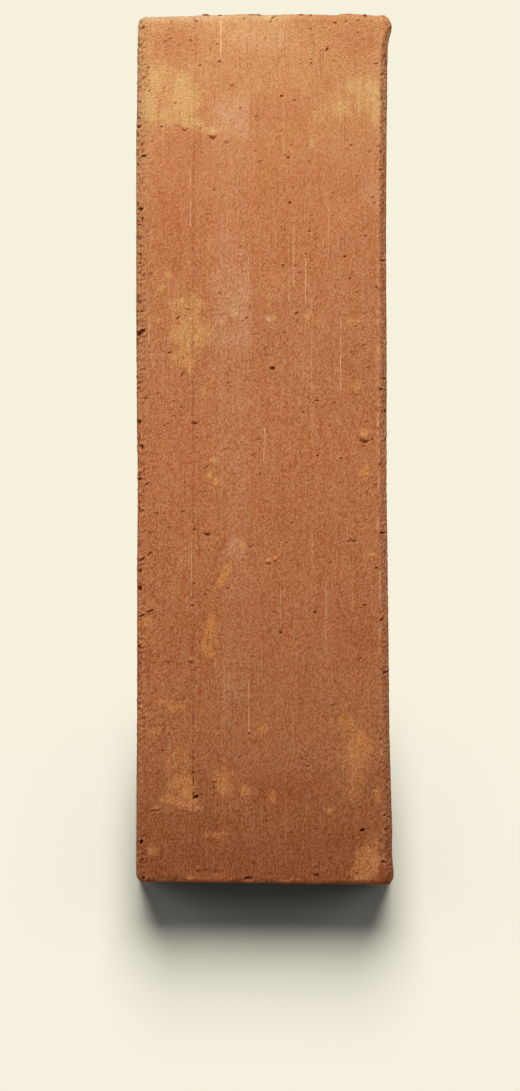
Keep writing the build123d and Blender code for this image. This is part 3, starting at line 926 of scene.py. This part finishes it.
ground = {
    "cream": (246, 241, 221),
    "size": 6.0,
    "gap": 0.05,  # in mm under the tile, so that its back and the floor don't share one plane
    "shadeFrom": -64.0,  # the shade beside the tile starts here, in mm along it
    "shadeFull": -115.0,
    "steepView": (0.12, 0.04),  # the even ground shows only from nearly straight above
    "secondBounce": 0.03,  # keeps the clay's colour out of the shadow
}

backdrop = {
    "light": (0.86, 1.0, 1.14, 1.0),
    "strength": 0.04,
}


def groundFinish():
    finish = bpy.data.materials.new("creamGround")
    finish.use_nodes = True
    put, calc, ease = nodeMaker(finish.node_tree)
    cream = colourOf(*ground["cream"])
    rays = put("ShaderNodeLightPath").outputs
    later = calc("GREATER_THAN", rays["Diffuse Depth"], 1.5)
    dim = [part * ground["secondBounce"] for part in cream[:3]] + [1.0]
    colour = put("ShaderNodeMix", {0: later, 6: cream, 7: dim}, data_type="RGBA").outputs[2]
    shaded = put("ShaderNodeBsdfDiffuse", {"Color": colour}).outputs[0]
    even = put("ShaderNodeEmission", {"Color": cream}).outputs[0]
    along = put("ShaderNodeSeparateXYZ", {0: put("ShaderNodeTexCoord").outputs["Object"]}).outputs["Y"]
    clear = ease(along, ground["shadeFull"] * mm, ground["shadeFrom"] * mm)
    steep = ease(put("ShaderNodeLayerWeight", {"Blend": 0.5}).outputs["Facing"], *ground["steepView"])
    seen = calc("MULTIPLY", calc("MULTIPLY", clear, rays["Is Camera Ray"]), steep)
    mixed = put("ShaderNodeMixShader", {0: seen, 1: shaded, 2: even}).outputs[0]
    put("ShaderNodeOutputMaterial", {"Surface": mixed})
    return finish


def buildFloor():
    shape = bmesh.new()
    bmesh.ops.create_grid(shape, x_segments=1, y_segments=1, size=ground["size"] / 2)
    mesh = bpy.data.meshes.new("floor")
    shape.to_mesh(mesh)
    shape.free()
    floor = bpy.data.objects.new("floor", mesh)
    scene.collection.objects.link(floor)
    floor.location.z = -ground["gap"] * mm
    mesh.materials.append(groundFinish())
    return floor


def buildWorld():
    world = bpy.data.worlds.new("paleStudio")
    scene.world = world
    world.use_nodes = True
    put, calc, _ = nodeMaker(world.node_tree)
    rays = put("ShaderNodeLightPath").outputs
    seen = rays["Is Camera Ray"]
    for kind in ("Is Glossy Ray", "Is Transmission Ray"):
        seen = calc("MAXIMUM", seen, rays[kind])
    sockets = {"Color": backdrop["light"], "Strength": backdrop["strength"]}
    light = put("ShaderNodeBackground", sockets).outputs[0]
    pale = put("ShaderNodeBackground", {"Color": colourOf(*ground["cream"])}).outputs[0]
    mixed = put("ShaderNodeMixShader", {0: seen, 1: light, 2: pale}).outputs[0]
    put("ShaderNodeOutputWorld", {"Surface": mixed})


# soft lamps: what each lights, compass turn from the far end, height angle, distance, aim, size and watts
softboxes = {
    "keySoftbox": {"lights": "tile", "turn": -14, "raise": 52, "away": 0.46, "aim": (0.0, 0.02, 0.02),
                   "size": (0.28, 0.32), "watts": 2.82},
    "groundSoftbox": {"lights": "floor", "turn": 0, "raise": 38.5, "away": 12.0, "aim": (0.0, 0.0, 0.0),
                      "size": (8.5, 8.5), "watts": 2285.0},
    "groundLeft": {"lights": "floor", "turn": -65, "raise": 28, "away": 12.0, "aim": (0.0, 0.0, 0.0),
                   "size": (8.0, 8.0), "watts": 168.0},
    "groundRight": {"lights": "floor", "turn": 65, "raise": 28, "away": 12.0, "aim": (0.0, 0.0, 0.0),
                    "size": (8.0, 8.0), "watts": 168.0},
}


def hangSoftbox(name, settings, lit):
    lamp = bpy.data.lights.new(name, "AREA")
    lamp.shape = "ELLIPSE"
    lamp.size, lamp.size_y = settings["size"]
    lamp.energy = settings["watts"]
    holder = bpy.data.objects.new(name, lamp)
    scene.collection.objects.link(holder)
    turn, height = math.radians(settings["turn"]), math.radians(settings["raise"])
    towards = Vector((math.sin(turn) * math.cos(height), math.cos(turn) * math.cos(height), math.sin(height)))
    holder.location = Vector(settings["aim"]) + towards * settings["away"]
    holder.rotation_euler = (-towards).to_track_quat("-Z", "Y").to_euler()
    litOnly = bpy.data.collections.new(name + "Lights")
    litOnly.objects.link(lit)
    holder.light_linking.receiver_collection = litOnly


camera = {
    "frameHigh": 1091,  # photo size in pixels
    "scale": 3.621,  # pixels for each millimetre of the face
    "over": (-1.4, -26.6),  # point of the face under the lens, in mm
    "away": 1.6,  # metres above the face
}


def setCamera():
    data = bpy.data.cameras.new("photoCamera")
    data.lens = data.sensor_width * camera["away"] / (camera["frameHigh"] / camera["scale"] * mm)
    eye = bpy.data.objects.new("photoCamera", data)
    scene.collection.objects.link(eye)
    eye.location = (camera["over"][0] * mm, camera["over"][1] * mm, cadHigh.z + camera["away"])
    scene.camera = eye


floor = buildFloor()
buildWorld()
for name, settings in softboxes.items():
    hangSoftbox(name, settings, tile if settings["lights"] == "tile" else floor)
setCamera()
print("stage, lamps and camera set")
